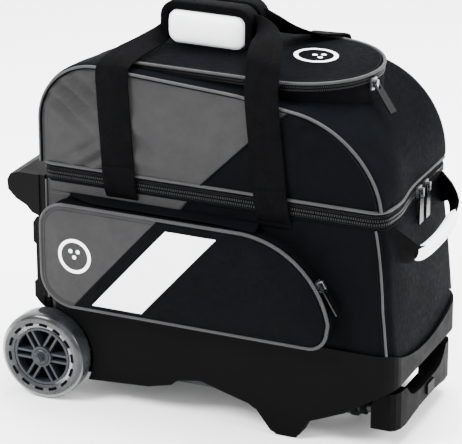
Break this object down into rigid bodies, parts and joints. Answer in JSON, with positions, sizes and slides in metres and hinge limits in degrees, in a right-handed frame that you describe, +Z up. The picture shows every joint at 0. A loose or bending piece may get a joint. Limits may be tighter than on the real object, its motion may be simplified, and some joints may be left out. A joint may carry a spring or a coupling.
{
  "type": "rolling bowling bag",
  "caption": "Soft rolling bowling bag: ball compartment on a moulded wheeled tray, hinged shoe compartment with zipped lid, front pocket, carry loops and slide-out pull handle.",
  "frame": {"origin": "on the floor under the middle of the bag's outline", "axes": "+X along the bag towards the pull handle, -Y towards the front pocket, +Z up"},
  "size_m": [0.586, 0.335, 0.56],
  "materials": {
    "black_cloth": "woven polyester",
    "grey_cloth": "woven polyester",
    "grey_trim": "satin piping",
    "tray_plastic": "moulded, fine grain",
    "pad_rubber": "matt",
    "steel": "brushed",
    "tube_steel": "satin paint",
    "urethane": "clear smoky polyurethane",
    "hub_plastic": "moulded",
    "webbing": "ribbed webbing",
    "white_cloth": "coated cloth",
    "liner_board": "board",
    "foam": "foam",
    "zip_tape": "zip tape and teeth",
    "pull_plastic": "gloss"
  },
  "bodies": {
    "root": {"base_tray": "tray_plastic", "foot_pads": "pad_rubber", "axle_brackets": "tray_plastic", "axle": "steel", "axle_bolts": "steel", "outer_tubes": "tube_steel", "outer_collars": "tray_plastic", "tube_saddles": "tray_plastic", "saddle_screws": "steel", "end_frame": "tray_plastic", "end_stand": "tray_plastic", "stand_screws": "steel", "lower_shell": "black_cloth", "bottom_board": "liner_board", "ball_cups": "foam", "ball_divider": "foam", "lower_zip": "zip_tape", "corner_piping": "grey_trim", "pocket_gusset": "black_cloth", "strap_patches": "webbing"},
    "front_wheel": {"front_tyre": "urethane", "front_hub": "hub_plastic", "front_bearings": "steel"},
    "back_wheel": {"back_tyre": "urethane", "back_hub": "hub_plastic", "back_bearings": "steel"},
    "middle_stage": {"middle_tubes": "tube_steel", "middle_collars": "tray_plastic"},
    "inner_stage": {"inner_tubes": "tube_steel", "pull_grip": "tray_plastic", "grip_screws": "steel", "button_spring": "steel"},
    "button": {"release_button": "pull_plastic"},
    "upper": {"upper_shell": "black_cloth", "upper_floor": "liner_board", "upper_zip": "zip_tape", "upper_piping": "grey_trim", "lid_rim": "black_cloth"},
    "lid": {"lid_panel": "black_cloth", "lid_piping": "grey_trim"},
    "main_slider_front": {"main_slider_front": "steel"},
    "main_pull_front": {"main_pull_front": "pull_plastic"},
    "main_slider_back": {"main_slider_back": "steel"},
    "main_pull_back": {"main_pull_back": "pull_plastic"},
    "lid_slider": {"lid_slider": "steel"},
    "lid_pull": {"lid_pull": "pull_plastic"},
    "pocket_flap": {"pocket_flap": "grey_cloth", "pocket_piping": "grey_trim"},
    "pocket_slider": {"pocket_slider": "steel"},
    "pocket_pull": {"pocket_pull": "pull_plastic"},
    "front_strap": {"front_strap": "webbing", "front_grip_pad": "white_cloth"},
    "back_strap": {"back_strap": "webbing", "back_grip_pad": "black_cloth"},
    "side_handle": {"side_handle": "webbing", "side_handle_pad": "white_cloth"}
  },
  "joints": [
    {"name": "front_wheel_spin", "type": "hinge", "parent": "root", "child": "front_wheel", "pos_m": [-0.229, -0.1375, 0.0635], "axis": [0, 1, 0], "continuous": true},
    {"name": "back_wheel_spin", "type": "hinge", "parent": "root", "child": "back_wheel", "pos_m": [-0.229, 0.1375, 0.0635], "axis": [0, 1, 0], "continuous": true},
    {"name": "middle_slide", "type": "slide", "parent": "root", "child": "middle_stage", "axis": [1, 0, 0], "range_m": [0, 0.3]},
    {"name": "inner_slide", "type": "slide", "parent": "middle_stage", "child": "inner_stage", "axis": [1, 0, 0], "range_m": [0, 0.3]},
    {"name": "button_press", "type": "slide", "parent": "inner_stage", "child": "button", "axis": [-1, 0, 0], "range_m": [0, 0.004], "stiffness_N_per_m": 800, "springref_m": -0.002, "deforming": ["button_spring"]},
    {"name": "upper_open", "type": "hinge", "parent": "root", "child": "upper", "pos_m": [-0.2405, 0, 0.327], "axis": [0, -1, 0], "range_deg": [0, 95]},
    {"name": "lid_open", "type": "hinge", "parent": "upper", "child": "lid", "pos_m": [-0.133, 0, 0.4882], "axis": [0, -1, 0], "range_deg": [0, 110]},
    {"name": "front_strap_swing", "type": "hinge", "parent": "root", "child": "front_strap", "pos_m": [0, -0.1296, 0.3], "axis": [1, 0, 0], "range_deg": [0, 150], "deforming": ["front_strap", "front_grip_pad"]},
    {"name": "back_strap_swing", "type": "hinge", "parent": "root", "child": "back_strap", "pos_m": [0, 0.1296, 0.3], "axis": [-1, 0, 0], "range_deg": [0, 150], "deforming": ["back_strap", "back_grip_pad"]},
    {"name": "main_zip_front", "type": "slide", "parent": "root", "child": "main_slider_front", "axis": [0, -1, 0], "range_m": [0, 0.1]},
    {"name": "main_zip_back", "type": "slide", "parent": "root", "child": "main_slider_back", "axis": [0, 1, 0], "range_m": [0, 0.07]},
    {"name": "main_pull_front_swing", "type": "hinge", "parent": "main_slider_front", "child": "main_pull_front", "pos_m": [0.2641, 0.008, 0.3285], "axis": [0, -1, 0], "range_deg": [0, 150]},
    {"name": "main_pull_back_swing", "type": "hinge", "parent": "main_slider_back", "child": "main_pull_back", "pos_m": [0.2641, 0.034, 0.3285], "axis": [0, -1, 0], "range_deg": [0, 150]},
    {"name": "lid_zip", "type": "hinge", "parent": "upper", "child": "lid_slider", "pos_m": [0.098, 0, 0.48], "axis": [0, 0, 1], "range_deg": [-24, 48]},
    {"name": "lid_pull_swing", "type": "hinge", "parent": "lid_slider", "child": "lid_pull", "pos_m": [0.20765, -0.02331, 0.4817], "axis": [-0.2079, -0.9781, 0], "range_deg": [0, 110]},
    {"name": "pocket_open", "type": "hinge", "parent": "root", "child": "pocket_flap", "pos_m": [0, -0.1422, 0.1475], "axis": [1, 0, 0], "range_deg": [0, 35]},
    {"name": "pocket_zip", "type": "hinge", "parent": "root", "child": "pocket_slider", "pos_m": [0.066, -0.141, 0.162], "axis": [0, -1, 0], "range_deg": [-18, 50]},
    {"name": "pocket_pull_swing", "type": "hinge", "parent": "pocket_slider", "child": "pocket_pull", "pos_m": [0.18232, -0.141, 0.23645], "axis": [0, -1, 0], "range_deg": [0, 150]},
    {"name": "side_handle_swing", "type": "hinge", "parent": "root", "child": "side_handle", "pos_m": [0.2645, 0, 0.31], "axis": [0, -1, 0], "range_deg": [0, 60], "deforming": ["side_handle", "side_handle_pad"]}
  ],
  "couplings": [
    {"joint": "front_strap_swing", "follows": "upper_open", "ratio": 1.5784},
    {"joint": "back_strap_swing", "follows": "upper_open", "ratio": 1.5784}
  ]
}
